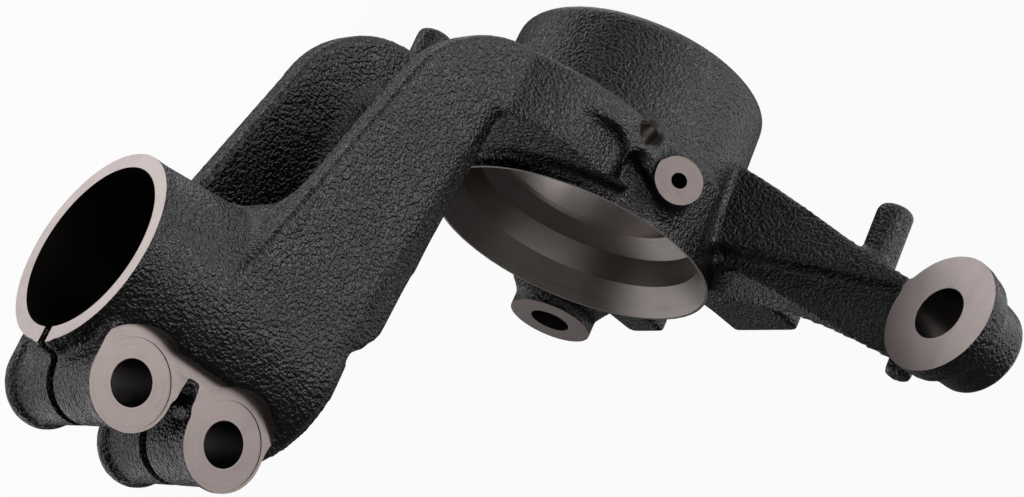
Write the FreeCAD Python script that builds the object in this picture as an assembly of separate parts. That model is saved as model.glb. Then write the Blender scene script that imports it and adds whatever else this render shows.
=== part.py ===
import FreeCAD, Part
import math
import os
from FreeCAD import Vector

# Steering knuckle, one ductile-iron casting, in millimetres.
# Axes while it is drawn: the hub axis is Y and points outboard from the centre of the inboard mouth,
# the strut clamp's axis points along +Z, and the steering arm reaches out along +X.
# The finished casting is moved so that the origin is the middle of the bearing seat.

# Hub barrel and its machined bore
SEAT_RADIUS = 40.0
SEAT_LENGTH = 45.0
HUB_WALL = 6.5
HUB_DRAFT = 1.2
HUB_KNEE = 3.0
HUB_EDGE_ROUND = 4.5
MOUTH_FLARE = 10.1
MOUTH_WALL = 1.1
THROAT_FLARE = 4.2
THROAT_DEPTH = 9.5
STEP_FLARE = 0.6
STEP_DEPTH = 19.9
STEP_BEVEL = 1.4
STEP_BEVEL_DEPTH = 0.8
LIP_HEIGHT = 5.8
LIP_LENGTH = 5.5
LIP_LAND = 1.6
SEAT_CHAMFER = 1.2
RING_GROOVE_WIDTH = 2.2
RING_GROOVE_DEPTH = 1.6
RING_GROOVE_INSET = 3.6

# Yoke that wraps the barrel on its inboard half
YOKE_THICKNESS = 30.0
YOKE_SETBACK = 4.5
YOKE_WALL = 1.0
YOKE_FLANK = 14.0
YOKE_TUCK = 3.4
YOKE_WAIST_DROP = 35.0
YOKE_WAIST_TUCK = 1.2
YOKE_NECKING_DROP = 19.0
YOKE_NECKING_DROP_REAR = 17.0
YOKE_NECKING_TUCK = 5.3
YOKE_SHOULDER_RISE = 0.8
YOKE_EDGE_ROUND = 3.0

# Goose neck between the yoke and the strut clamp
NECK_FRONT_INSET = 16.2
NECK_REAR_INSET = 14.2
NECK_WALL = 10.0
NECK_FLOOR = 10.8
NECK_HEEL = 20.0
NECK_HEEL_RISE = 3.0
NECK_HEEL_CORNER = 7.5
NECK_HEEL_LIFT = 8.0
NECK_HEEL_REACH = 11.0
NECK_CLEARANCE = 21.0
NECK_ROOT = 30.0
NECK_DEPTH_FRONT = 36.8
NECK_DEPTH_REAR = 38.8
NECK_BEND_FRONT_INSET = 9.5
NECK_BEND_FRONT_DROP = 15.0
NECK_BEND_REAR_INSET = 10.0
NECK_BEND_REAR_DROP = 13.0
NECK_REAR_OVERHANG = 4.0
NECK_RIM_DROP = 5.0
NECK_SLOPE = 0.27
NECK_EDGE_ROUND = 1.5
NECK_DRAFT = 9.0
NECK_DRAFT_HEIGHT = 20.0
NECK_DRAFT_RISE = 3.5
TROUGH_WALL = 42.6
TROUGH_TAPER = 8.0
TROUGH_RISE = 3.0
TROUGH_WEB = 11.0
TROUGH_BEND = 10.0
TROUGH_FALL = 11.0
TROUGH_CORNER = 9.0

# Strut clamp
CLAMP_X = -1.6
CLAMP_Y = -100.6
CLAMP_RISE = 12.3
CLAMP_LENGTH = 79.7
CLAMP_BORE_RADIUS = 28.1
CLAMP_WALL = 4.9
CLAMP_LOW_WALL = 7.9
CLAMP_RIM = 4.0
CLAMP_KNEE = 34.0
CLAMP_EDGE_ROUND = 5.0
CLAMP_SLIT = 4.0
CLAMP_RELIEF = 1.5
EAR_FRONT = 23.0
EAR_REAR = -25.0
EAR_HOLE_RADIUS = 7.25
EAR_HOLE_CLEARANCE = 0.35
EAR_DROP = 20.0
EAR_PITCH = 37.7
EAR_WALL = 7.55
EAR_NECKING = 1.6
EAR_SPOT_MARGIN = 2.5
EAR_SPOT_HEIGHT = 30.0
EAR_FACE_THICKNESS = 3.0
EAR_ROOT = 9.4
EAR_WEB = 6.5
EAR_NOTCH_INSET = 0.4
EAR_NOTCH_WIDTH = 4.4
EAR_PATH = 15.1

# Steering arm and its tapered eye
ARM_SLOPE = 0.51
ARM_CREASE_X = 42.0
ARM_CREASE_Z = -20.0
ARM_STEP_Y = 13.5
ARM_STEP_DRAFT = 1.5
ARM_ROOT_X = 36.0
ARM_ROOT_EDGE = 46.5
ARM_ROOT_STEP = 7.0
ARM_ROOT_RIB_Y = 9.5
ARM_ROOT_RIB_Z = -26.0
ARM_ROOT_RIB_FOOT_Y = 0.5
ARM_ROOT_RIB_FOOT_Z = -42.5
ARM_ROOT_FOOT_Y = 43.0
ARM_ROOT_FOOT_Z = -50.0
ARM_UPPER_X = 60.0
ARM_UPPER_EDGE = 37.4
ARM_UPPER_STEP = 6.5
ARM_UPPER_RIB_Y = 4.4
ARM_UPPER_RIB_Z = -35.5
ARM_UPPER_RIB_FOOT_Y = 0.6
ARM_UPPER_RIB_FOOT_Z = -48.4
ARM_UPPER_FOOT_Y = 34.0
ARM_UPPER_FOOT_Z = -55.0
ARM_LOWER_X = 84.0
ARM_LOWER_EDGE = 26.3
ARM_LOWER_STEP = 5.5
ARM_LOWER_RIB_Y = -3.8
ARM_LOWER_RIB_Z = -48.4
ARM_LOWER_RIB_FOOT_Y = -5.0
ARM_LOWER_RIB_FOOT_Z = -52.0
ARM_LOWER_FOOT_Y = 22.0
ARM_LOWER_FOOT_Z = -64.0
ARM_END_X = 112.0
ARM_END_EDGE = 15.0
ARM_END_STEP = 4.0
ARM_END_RIB_Y = -12.0
ARM_END_RIB_Z = -61.5
ARM_END_RIB_FOOT_Y = -12.5
ARM_END_RIB_FOOT_Z = -66.0
ARM_END_FOOT_Y = 12.0
ARM_END_FOOT_Z = -76.0
EYE_X = 126.0
EYE_Y = 2.3
EYE_Z = -52.8
EYE_HOLE_RADIUS = 9.45
EYE_WALL = 12.05
EYE_LOW_WALL = 7.05
EYE_DISC = 8.5
EYE_DISC_DRAFT = 0.8
EYE_NECK = 3.0
EYE_DRAFT = 1.0
EYE_EDGE_ROUND = 3.5
EYE_HEIGHT = 26.0
EYE_TAPER = 0.06

# Steering stop pegs
PEG_RADIUS = 6.5
PEG_X = 90.0
PEG_Z = -53.5
PEG_ROOT = 15.0
PEG_TIP = 43.5
PEG_BEVEL = 1.2
REAR_PEG_X = -36.0
REAR_PEG_Z = 63.0
REAR_PEG_ROOT = 20.0
REAR_PEG_TIP = 49.0

# Caliper lugs
LUG_X = -60.0
LUG_PITCH = 101.4
LUG_HOLE_RADIUS = 7.5
LUG_WALL = 8.3
LUG_THICKNESS = 24.0
LUG_FACE_PROUD = 4.0
LUG_BACK_PROUD = 1.0
LUG_ARM_INSET = 1.5
LUG_FOOT_X = -26.0
LUG_FOOT_Z = 24.0
LUG_FOOT_RADIUS = 25.0

# Fork for the lower ball joint
FORK_X = -18.0
FORK_GAP = 38.0
FORK_LEG = 32.0
FORK_REAR_LEG = 18.0
FORK_CROTCH = 24.0
FORK_CORNER = 9.0
FORK_ROUND = 4.0
FORK_INBOARD = 14.5
FORK_THICKNESS = 20.0
FORK_BOTTOM = -85.0
FORK_SHOULDER = 14.0
FORK_REAR_SHOULDER = 16.0
FORK_FLANK = 50.0
FORK_FLANK_TUCK = 4.0
FORK_REAR_FLANK = 52.0
FORK_REAR_FLANK_TUCK = 3.0
FORK_THREAD_RADIUS = 5.1
FORK_THREAD_DEPTH = 22.0

# Lightening pocket in the yoke, beside the sensor pad
POCKET_OUTBOARD = 19.5
POCKET_LOW = 31.5
POCKET_HIGH = 59.0
POCKET_DEPTH = 5.2
POCKET_CORNER = 8.0

# Wheel-speed sensor pad
SENSOR_ANGLE = 27.5
SENSOR_INSET = 0.2
SENSOR_RADIUS = 4.1
SENSOR_SCREW_INSET = 10.3
SENSOR_SCREW_OFFSET = -15.5
SENSOR_SCREW_RADIUS = 2.8
SENSOR_SCREW_DEPTH = 13.0
SENSOR_WALL = 3.1
SENSOR_PROUD = 10.5
SENSOR_SPOT_DEPTH = 1.5

# How far each cutter runs past the face that it leaves
PAST = 5.0

# Sizes that follow from the ones above
SEAT_START = STEP_DEPTH + LIP_LENGTH
SEAT_MIDDLE = SEAT_START + SEAT_LENGTH / 2
HUB_DEPTH = SEAT_START + SEAT_LENGTH
HUB_RIM_RADIUS = SEAT_RADIUS + HUB_WALL
LIP_RADIUS = SEAT_RADIUS - LIP_HEIGHT
STEP_RADIUS = SEAT_RADIUS + STEP_FLARE
THROAT_RADIUS = SEAT_RADIUS + THROAT_FLARE
MOUTH_RADIUS = SEAT_RADIUS + MOUTH_FLARE
HUB_MOUTH_RADIUS = MOUTH_RADIUS + MOUTH_WALL
YOKE_RADIUS = HUB_MOUTH_RADIUS + YOKE_WALL
NECK_FRONT = YOKE_RADIUS - NECK_FRONT_INSET
NECK_REAR = NECK_REAR_INSET - YOKE_RADIUS
NECK_UNDERSIDE = HUB_MOUTH_RADIUS + NECK_CLEARANCE
YOKE_SHOULDER = NECK_UNDERSIDE + YOKE_SHOULDER_RISE
CLAMP_BOTTOM = NECK_UNDERSIDE + CLAMP_RISE
CLAMP_TOP = CLAMP_BOTTOM + CLAMP_LENGTH
TROUGH_START = CLAMP_Y + TROUGH_WALL
CLAMP_TOP_RADIUS = CLAMP_BORE_RADIUS + CLAMP_WALL
CLAMP_LOW_RADIUS = CLAMP_BORE_RADIUS + CLAMP_LOW_WALL
EAR_REACH = CLAMP_BORE_RADIUS + EAR_HOLE_RADIUS + EAR_HOLE_CLEARANCE
EAR_RADIUS = EAR_HOLE_RADIUS + EAR_WALL
EAR_SPOT_RADIUS = EAR_RADIUS + EAR_SPOT_MARGIN
EAR_NOTCH = CLAMP_BORE_RADIUS + EAR_NOTCH_INSET
EYE_RADIUS = EYE_HOLE_RADIUS + EYE_WALL
EYE_LOW_RADIUS = EYE_HOLE_RADIUS + EYE_LOW_WALL
LUG_RADIUS = LUG_HOLE_RADIUS + LUG_WALL
SENSOR_Y = SEAT_START + SENSOR_INSET
SENSOR_SCREW_Y = SENSOR_Y - SENSOR_SCREW_INSET
SENSOR_BOSS_RADIUS = SENSOR_RADIUS + SENSOR_WALL
SENSOR_FACE = HUB_RIM_RADIUS + SENSOR_PROUD
SENSOR_SEAT = SENSOR_FACE - SENSOR_SPOT_DEPTH


def side(x, lean=0.0):
    """Places a (y, z) point in the upright plane that meets the hub axis at x and leans by y."""
    return lambda y, z: Vector(x + lean * y, y, z)


def front(y):
    """Places an (x, z) point in the plane at y."""
    return lambda x, z: Vector(x, y, z)


def outline(place, start, *steps):
    """A closed wire: a step of one point is a line, a step of two points an arc through the first."""
    edges = []
    here = place(*start)
    for step in steps + (start,):
        if isinstance(step[0], tuple):
            middle, end = place(*step[0]), place(*step[1])
            edges.append(Part.Arc(here, middle, end).toShape())
        else:
            end = place(*step)
            edges.append(Part.makeLine(here, end))
        here = end
    return Part.Wire(edges)


def prism(wire, travel):
    return Part.Face(wire).extrude(travel)


def rounded(solid, radius, wanted):
    """Fillets the edges whose centre and direction the test accepts."""
    edges = []
    for edge in solid.Edges:
        tangent = edge.tangentAt((edge.FirstParameter + edge.LastParameter) / 2)
        if wanted(edge.CenterOfMass, tangent):
            edges.append(edge)
    return solid.makeFillet(radius, edges).Solids[0]


def link(place, travel, centre_a, radius_a, centre_b, radius_b):
    """A plate whose outline wraps two circles with their outer tangents."""
    dx, dz = centre_b[0] - centre_a[0], centre_b[1] - centre_a[1]
    heading = math.atan2(dz, dx)
    lean = math.acos((radius_a - radius_b) / math.hypot(dx, dz))

    def at(centre, radius, angle):
        return centre[0] + radius * math.cos(angle), centre[1] + radius * math.sin(angle)

    return prism(
        outline(
            place,
            at(centre_a, radius_a, heading + lean),
            (at(centre_a, radius_a, heading + math.pi), at(centre_a, radius_a, heading - lean)),
            at(centre_b, radius_b, heading - lean),
            (at(centre_b, radius_b, heading), at(centre_b, radius_b, heading + lean)),
        ),
        travel,
    )


def turned(profile, centre, axis):
    """Revolves a closed (radius, height) profile about an axis through centre."""
    flat = outline(lambda r, h: Vector(r, 0, h), profile[0], *profile[1:])
    solid = Part.Face(flat).revolve(Vector(0, 0, 0), Vector(0, 0, 1), 360)
    solid.Placement = FreeCAD.Placement(centre, FreeCAD.Rotation(Vector(0, 0, 1), axis))
    return solid


def rod(radius, y0, y1, x, z):
    """A cylinder parallel to the hub axis."""
    return Part.makeCylinder(radius, y1 - y0, Vector(x, y0, z), Vector(0, 1, 0))


def hub_barrel():
    round_start = HUB_DEPTH - HUB_EDGE_ROUND
    corner = HUB_RIM_RADIUS - HUB_EDGE_ROUND
    bend = HUB_EDGE_ROUND * math.sqrt(0.5)
    profile = [
        (0, 0),
        (HUB_MOUTH_RADIUS, 0),
        (HUB_RIM_RADIUS + HUB_DRAFT, YOKE_THICKNESS - HUB_KNEE),
        (HUB_RIM_RADIUS, round_start),
        ((corner + bend, round_start + bend), (corner, HUB_DEPTH)),
        (0, HUB_DEPTH),
    ]
    return turned(profile, Vector(0, 0, 0), Vector(0, 1, 0))


def hub_bore():
    """Machined mouth, shoulder lip, bearing seat and snap-ring groove, as one turned cutter."""
    groove_out = HUB_DEPTH - RING_GROOVE_INSET
    groove_in = groove_out - RING_GROOVE_WIDTH
    flare = (MOUTH_RADIUS - THROAT_RADIUS) / THROAT_DEPTH
    profile = [
        (0, -PAST),
        (MOUTH_RADIUS + flare * PAST, -PAST),
        (THROAT_RADIUS, THROAT_DEPTH),
        (STEP_RADIUS + STEP_BEVEL, STEP_DEPTH - STEP_BEVEL_DEPTH),
        (STEP_RADIUS, STEP_DEPTH),
        (LIP_RADIUS, SEAT_START - LIP_LAND),
        (LIP_RADIUS, SEAT_START),
        (SEAT_RADIUS, SEAT_START),
        (SEAT_RADIUS, groove_in),
        (SEAT_RADIUS + RING_GROOVE_DEPTH, groove_in),
        (SEAT_RADIUS + RING_GROOVE_DEPTH, groove_out),
        (SEAT_RADIUS, groove_out),
        (SEAT_RADIUS, HUB_DEPTH - SEAT_CHAMFER),
        (SEAT_RADIUS + SEAT_CHAMFER + PAST, HUB_DEPTH + PAST),
        (0, HUB_DEPTH + PAST),
    ]
    return turned(profile, Vector(0, 0, 0), Vector(0, 1, 0))


def yoke():
    """The plate round the inboard half of the barrel, which the neck grows out of."""
    waist_z = YOKE_SHOULDER - YOKE_WAIST_DROP
    foot = YOKE_RADIUS - YOKE_TUCK
    waist = YOKE_RADIUS - YOKE_WAIST_TUCK
    necking = YOKE_RADIUS - YOKE_NECKING_TUCK
    wire = outline(
        front(YOKE_SETBACK),
        (NECK_FRONT, YOKE_SHOULDER),
        ((necking, YOKE_SHOULDER - YOKE_NECKING_DROP), (waist, waist_z)),
        ((YOKE_RADIUS, YOKE_FLANK), (foot, -YOKE_FLANK)),
        (-foot, -YOKE_FLANK),
        ((-YOKE_RADIUS, YOKE_FLANK), (-waist, waist_z)),
        ((-necking, YOKE_SHOULDER - YOKE_NECKING_DROP_REAR), (NECK_REAR, YOKE_SHOULDER)),
    )
    plate = prism(wire, Vector(0, YOKE_THICKNESS - YOKE_SETBACK, 0))

    def outboard_flank(centre, tangent):
        return centre.y > 0.99 * YOKE_THICKNESS and centre.z > 0 and abs(tangent.z) > 0.1

    return rounded(plate, YOKE_EDGE_ROUND, outboard_flank)


def neck_outline(plane, crown, bend, rim):
    top = crown - NECK_SLOPE * CLAMP_Y
    root = NECK_UNDERSIDE - NECK_ROOT
    heel = CLAMP_Y + NECK_HEEL
    return outline(
        plane,
        (CLAMP_Y, top),
        (0, crown),
        (bend, (rim, YOKE_SHOULDER - NECK_RIM_DROP)),
        (rim, root),
        (YOKE_SETBACK, root),
        (YOKE_SETBACK, NECK_UNDERSIDE),
        (heel, NECK_UNDERSIDE + NECK_HEEL_RISE),
        (heel - NECK_HEEL_CORNER, NECK_UNDERSIDE + NECK_HEEL_LIFT),
        (heel - NECK_HEEL_REACH, CLAMP_BOTTOM),
        (CLAMP_Y, CLAMP_BOTTOM),
    )


def neck_half(x, lean, crown, bend, rim):
    """One side of the neck, from its leaning outer face past the middle, with a rounded upper edge."""
    outward = math.copysign(1, x)
    half = prism(neck_outline(side(x, lean), crown, bend, rim), Vector(-x - outward, 0, 0))

    def upper_edge(centre, tangent):
        outer = abs(centre.x) > 0.8 * abs(x) and abs(tangent.x) < 0.2
        over_hub = centre.y > TROUGH_WEB / 2 and centre.z > YOKE_SHOULDER
        return outer and (over_hub or centre.z > CLAMP_BOTTOM and centre.y > CLAMP_Y + 1)

    return rounded(half, NECK_EDGE_ROUND, upper_edge).cut(neck_draft(x, outward))


def neck_draft(x, outward):
    """Wedge that slopes the lower part of the neck's flank inwards, more and more towards the clamp."""
    clear = 0.6 * PAST
    foot = NECK_UNDERSIDE - 2 * PAST

    def section(y, depth, height):
        low = NECK_UNDERSIDE + NECK_DRAFT_RISE * y / CLAMP_Y
        inner, skin = x - outward * depth, x + outward * clear
        high = low + height * (1 + clear / depth)
        return outline(front(y), (inner, foot), (inner, low), (skin, high), (skin, foot))

    near = section(YOKE_SETBACK, NECK_DRAFT / 4, NECK_DRAFT_HEIGHT / 4)
    far = section(CLAMP_Y - clear, NECK_DRAFT, NECK_DRAFT_HEIGHT)
    return Part.makeLoft([near, far], True, True)


def goose_neck():
    """Bent beam from the clamp over the barrel, as wide as the clamp's tube at that end."""
    front_lean = (NECK_FRONT - CLAMP_X - CLAMP_LOW_RADIUS) / -CLAMP_Y
    rear_lean = (NECK_REAR - CLAMP_X + CLAMP_LOW_RADIUS) / -CLAMP_Y
    front_crown = NECK_UNDERSIDE + NECK_DEPTH_FRONT
    front_bend = (YOKE_THICKNESS - NECK_BEND_FRONT_INSET, front_crown - NECK_BEND_FRONT_DROP)
    rear_crown = NECK_UNDERSIDE + NECK_DEPTH_REAR
    rear_rim = YOKE_THICKNESS + NECK_REAR_OVERHANG
    rear_bend = (rear_rim - NECK_BEND_REAR_INSET, rear_crown - NECK_BEND_REAR_DROP)
    near = neck_half(NECK_FRONT, front_lean, front_crown, front_bend, YOKE_THICKNESS)
    return near.fuse(neck_half(NECK_REAR, rear_lean, rear_crown, rear_bend, rear_rim))


def trough():
    """The open channel in the neck: it starts at the clamp and runs out over the barrel."""
    floor = NECK_UNDERSIDE + NECK_FLOOR
    step = (1 - math.sqrt(0.5)) * TROUGH_BEND
    hub_top = HUB_RIM_RADIUS + 0.2 * PAST
    far = 2 * YOKE_THICKNESS
    wire = outline(
        side(NECK_REAR + NECK_WALL),
        (TROUGH_START, floor + TROUGH_RISE),
        (TROUGH_WEB - TROUGH_BEND, floor - 0.1 * TROUGH_BEND),
        ((TROUGH_WEB - step, floor - 0.1 * TROUGH_BEND - step), (TROUGH_WEB, floor - TROUGH_FALL)),
        (TROUGH_WEB, hub_top),
        (far, hub_top),
        (far, CLAMP_TOP),
        (TROUGH_START - TROUGH_TAPER, CLAMP_TOP),
    )
    width = NECK_FRONT - NECK_REAR - 2 * NECK_WALL
    channel = prism(wire, Vector(width, 0, 0))
    return rounded(channel, TROUGH_CORNER, lambda c, t: c.y < 1.1 * TROUGH_WEB and abs(t.x) < 0.1)


def pocket():
    """Shallow pocket in the yoke's front flank, open on the inboard side."""
    box = Part.makeBox(
        POCKET_DEPTH + 2 * PAST,
        POCKET_OUTBOARD + PAST,
        POCKET_HIGH - POCKET_LOW,
        Vector(YOKE_RADIUS - POCKET_DEPTH, -PAST, POCKET_LOW),
    )
    return rounded(box, POCKET_CORNER, lambda c, t: abs(t.x) > 0.9)


def strut_clamp():
    """Split tube, wider where the neck joins it."""
    knee = CLAMP_TOP - CLAMP_KNEE
    foot = CLAMP_LOW_RADIUS - CLAMP_EDGE_ROUND
    bend = CLAMP_EDGE_ROUND * (1 - math.sqrt(0.5))
    profile = [
        (0, CLAMP_BOTTOM),
        (foot, CLAMP_BOTTOM),
        ((CLAMP_LOW_RADIUS - bend, CLAMP_BOTTOM + bend), (CLAMP_LOW_RADIUS, CLAMP_BOTTOM + CLAMP_EDGE_ROUND)),
        (CLAMP_LOW_RADIUS, knee),
        (CLAMP_TOP_RADIUS, CLAMP_TOP - CLAMP_RIM),
        (CLAMP_TOP_RADIUS, CLAMP_TOP),
        (0, CLAMP_TOP),
    ]
    return turned(profile, Vector(CLAMP_X, CLAMP_Y, 0), Vector(0, 0, 1))


def ear_rows():
    """The (y, z) of each clamp bolt's axis."""
    return [(CLAMP_Y - EAR_REACH, CLAMP_TOP - EAR_DROP - row * EAR_PITCH) for row in range(2)]


def ear_plate(x0, x1, radius):
    """Both ears at one width: two round ends on a web that runs along the tube."""
    travel = Vector(x1 - x0, 0, 0)
    (y, high), (_, low) = ear_rows()
    root = y + EAR_ROOT
    solids = [
        prism(outline(side(x0), (root, low - radius), (root, high + radius),
                      (CLAMP_Y, high + radius), (CLAMP_Y, low - radius)), travel),
        prism(outline(side(x0), (root - EAR_WEB, low), (root - EAR_WEB, high),
                      (CLAMP_Y, high), (CLAMP_Y, low)), travel),
    ]
    for z in (high, low):
        solids.append(Part.makeCylinder(radius, x1 - x0, Vector(x0, y, z), Vector(1, 0, 0)))
        solids.append(prism(outline(side(x0), (y, z - radius), (y, z + radius),
                                    (root, z + radius), (root, z - radius)), travel))
    return solids[0].multiFuse(solids[1:])


def ears():
    """Two pairs of bolt ears with raised end faces."""
    inner = ear_plate(EAR_REAR, EAR_FRONT, EAR_RADIUS - EAR_NECKING)
    near = ear_plate(EAR_FRONT - EAR_FACE_THICKNESS, EAR_FRONT, EAR_RADIUS)
    far = ear_plate(EAR_REAR, EAR_REAR + EAR_FACE_THICKNESS, EAR_RADIUS)
    return [inner, near, far]


def clamp_cuts():
    """Strut bore, slit, bolt holes and the round spots milled for the bolt heads."""
    length = CLAMP_LENGTH + 2 * PAST
    reach = EAR_REACH + EAR_RADIUS + PAST
    heel = CLAMP_BOTTOM - NECK_UNDERSIDE + PAST
    relief = CLAMP_BORE_RADIUS + CLAMP_RELIEF
    cuts = [
        Part.makeCylinder(CLAMP_BORE_RADIUS, CLAMP_LENGTH + PAST, Vector(CLAMP_X, CLAMP_Y, CLAMP_BOTTOM)),
        Part.makeCylinder(relief, heel, Vector(CLAMP_X, CLAMP_Y, CLAMP_BOTTOM - heel)),
        Part.makeBox(
            CLAMP_SLIT, reach, length, Vector(CLAMP_X - CLAMP_SLIT / 2, CLAMP_Y - reach, CLAMP_BOTTOM - PAST)
        ),
    ]
    (y, high), (_, low) = ear_rows()
    notch = Vector(EAR_REAR - PAST, CLAMP_Y - EAR_NOTCH, (high + low) / 2)
    width = EAR_FRONT - EAR_REAR + 2 * PAST
    cuts.append(Part.makeCylinder(EAR_NOTCH_WIDTH / 2, width, notch, Vector(1, 0, 0)))
    cuts.append(Part.makeBox(width, reach, EAR_NOTCH_WIDTH, notch - Vector(0, reach, EAR_NOTCH_WIDTH / 2)))
    for x in (EAR_FRONT, EAR_REAR - EAR_SPOT_HEIGHT):
        cuts.append(Part.makeBox(EAR_SPOT_HEIGHT, EAR_PATH, high - low, Vector(x, y, low)))
    for y, z in ear_rows():
        cuts.append(Part.makeCylinder(EAR_HOLE_RADIUS, width, Vector(EAR_REAR - PAST, y, z), Vector(1, 0, 0)))
        for x, out in ((EAR_FRONT, 1), (EAR_REAR, -1)):
            spot = Vector(x, y, z)
            cuts.append(Part.makeCylinder(EAR_SPOT_RADIUS, EAR_SPOT_HEIGHT, spot, Vector(out, 0, 0)))
    return cuts


def arm_section(x, edge, step, rib_top, rib_foot, foot):
    top = ARM_CREASE_Z - ARM_SLOPE * (x - ARM_CREASE_X)
    inner = ARM_STEP_Y - ARM_STEP_DRAFT
    return outline(side(x), (edge, top), (ARM_STEP_Y, top), (inner, top - step), rib_top, rib_foot, foot)


def steering_arm():
    """Tapering arm with a stepped upper face, drawn through four sections."""
    sections = [
        arm_section(
            ARM_ROOT_X,
            ARM_ROOT_EDGE,
            ARM_ROOT_STEP,
            (ARM_ROOT_RIB_Y, ARM_ROOT_RIB_Z),
            (ARM_ROOT_RIB_FOOT_Y, ARM_ROOT_RIB_FOOT_Z),
            (ARM_ROOT_FOOT_Y, ARM_ROOT_FOOT_Z),
        ),
        arm_section(
            ARM_UPPER_X,
            ARM_UPPER_EDGE,
            ARM_UPPER_STEP,
            (ARM_UPPER_RIB_Y, ARM_UPPER_RIB_Z),
            (ARM_UPPER_RIB_FOOT_Y, ARM_UPPER_RIB_FOOT_Z),
            (ARM_UPPER_FOOT_Y, ARM_UPPER_FOOT_Z),
        ),
        arm_section(
            ARM_LOWER_X,
            ARM_LOWER_EDGE,
            ARM_LOWER_STEP,
            (ARM_LOWER_RIB_Y, ARM_LOWER_RIB_Z),
            (ARM_LOWER_RIB_FOOT_Y, ARM_LOWER_RIB_FOOT_Z),
            (ARM_LOWER_FOOT_Y, ARM_LOWER_FOOT_Z),
        ),
        arm_section(
            ARM_END_X,
            ARM_END_EDGE,
            ARM_END_STEP,
            (ARM_END_RIB_Y, ARM_END_RIB_Z),
            (ARM_END_RIB_FOOT_Y, ARM_END_RIB_FOOT_Z),
            (ARM_END_FOOT_Y, ARM_END_FOOT_Z),
        ),
    ]
    return Part.makeLoft(sections, True, False)


def eye():
    """Round end of the arm: a wide disc above a narrower drafted body."""
    low = EYE_Z - EYE_HEIGHT
    bend = EYE_EDGE_ROUND * (1 - math.sqrt(0.5))
    profile = [
        (0, low),
        (EYE_LOW_RADIUS - EYE_EDGE_ROUND, low),
        ((EYE_LOW_RADIUS - bend, low + bend), (EYE_LOW_RADIUS, low + EYE_EDGE_ROUND)),
        (EYE_LOW_RADIUS + EYE_DRAFT, EYE_Z - EYE_DISC - EYE_NECK),
        (EYE_RADIUS - EYE_DISC_DRAFT, EYE_Z - EYE_DISC),
        (EYE_RADIUS, EYE_Z),
        (0, EYE_Z),
    ]
    return turned(profile, Vector(EYE_X, EYE_Y, 0), Vector(0, 0, 1))


def eye_cuts():
    hole = Part.makeCone(
        EYE_HOLE_RADIUS,
        EYE_HOLE_RADIUS + EYE_TAPER * (EYE_HEIGHT + PAST),
        EYE_HEIGHT + PAST,
        Vector(EYE_X, EYE_Y, EYE_Z),
        Vector(0, 0, -1),
    )
    spot = Part.makeCylinder(EYE_RADIUS + 0.2 * PAST, 4 * PAST, Vector(EYE_X, EYE_Y, EYE_Z))
    return [hole, spot]


def peg(x, z, root, tip):
    """Cast stop peg with a bevelled tip."""
    length = tip - root
    profile = [
        (0, 0),
        (PEG_RADIUS, 0),
        (PEG_RADIUS, length - PEG_BEVEL),
        (PEG_RADIUS - PEG_BEVEL, length),
        (0, length),
    ]
    return turned(profile, Vector(x, root, z), Vector(0, 1, 0))


def caliper_lugs():
    """Two bored lugs behind the barrel, each on a tapering arm, with a raised inboard face."""
    solids = []
    travel = Vector(0, LUG_THICKNESS - LUG_FACE_PROUD - LUG_BACK_PROUD, 0)
    end_radius = LUG_RADIUS - LUG_ARM_INSET
    for sign in (-1, 1):
        z = sign * LUG_PITCH / 2
        foot = (LUG_FOOT_X, sign * LUG_FOOT_Z)
        arm = link(front(LUG_FACE_PROUD), travel, foot, LUG_FOOT_RADIUS, (LUG_X, z), end_radius)
        solids += [arm, rod(LUG_RADIUS, 0, LUG_THICKNESS, LUG_X, z)]
    return solids


def fork():
    """Two legs under the barrel that carry the lower ball joint, with a round-cornered gap."""
    gap = FORK_GAP / 2
    crown = FORK_BOTTOM + FORK_CROTCH
    bend = FORK_CORNER * (1 - math.sqrt(0.5))
    wire = outline(
        front(FORK_INBOARD),
        (FORK_X - gap - FORK_REAR_LEG, FORK_BOTTOM),
        (FORK_X - gap, FORK_BOTTOM),
        (FORK_X - gap, crown - FORK_CORNER),
        ((FORK_X - gap + bend, crown - bend), (FORK_X - gap + FORK_CORNER, crown)),
        (FORK_X + gap - FORK_CORNER, crown),
        ((FORK_X + gap - bend, crown - bend), (FORK_X + gap, crown - FORK_CORNER)),
        (FORK_X + gap, FORK_BOTTOM),
        (FORK_X + gap + FORK_LEG, FORK_BOTTOM),
        (FORK_X + gap + FORK_LEG, FORK_BOTTOM + FORK_SHOULDER),
        (FORK_X + gap + FORK_LEG - FORK_FLANK_TUCK, FORK_BOTTOM + FORK_FLANK),
        (FORK_X - gap + FORK_REAR_FLANK_TUCK, FORK_BOTTOM + FORK_REAR_FLANK),
        (FORK_X - gap - FORK_REAR_LEG, FORK_BOTTOM + FORK_REAR_SHOULDER),
    )
    plate = prism(wire, Vector(0, FORK_THICKNESS, 0))

    def outer_toe(centre, tangent):
        outside = abs(centre.x - FORK_X) > 1.1 * gap
        return outside and abs(tangent.y) > 0.9 and centre.z < FORK_BOTTOM + FORK_ROUND

    return rounded(plate, FORK_ROUND, outer_toe)


def fork_cuts():
    cuts = []
    for x in (FORK_X - (FORK_GAP + FORK_REAR_LEG) / 2, FORK_X + (FORK_GAP + FORK_LEG) / 2):
        foot = Vector(x, FORK_INBOARD + FORK_THICKNESS / 2, FORK_BOTTOM - PAST)
        cuts.append(Part.makeCylinder(FORK_THREAD_RADIUS, FORK_THREAD_DEPTH + PAST, foot))
    return cuts


def sensor_axes():
    """Outward direction of the sensor pad, and where its two axes start on the hub axis."""
    angle = math.radians(SENSOR_ANGLE)
    outward = Vector(math.cos(angle), 0, math.sin(angle))
    around = Vector(-math.sin(angle), 0, math.cos(angle))
    return outward, Vector(0, SENSOR_Y, 0), around * SENSOR_SCREW_OFFSET + Vector(0, SENSOR_SCREW_Y, 0)


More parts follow.
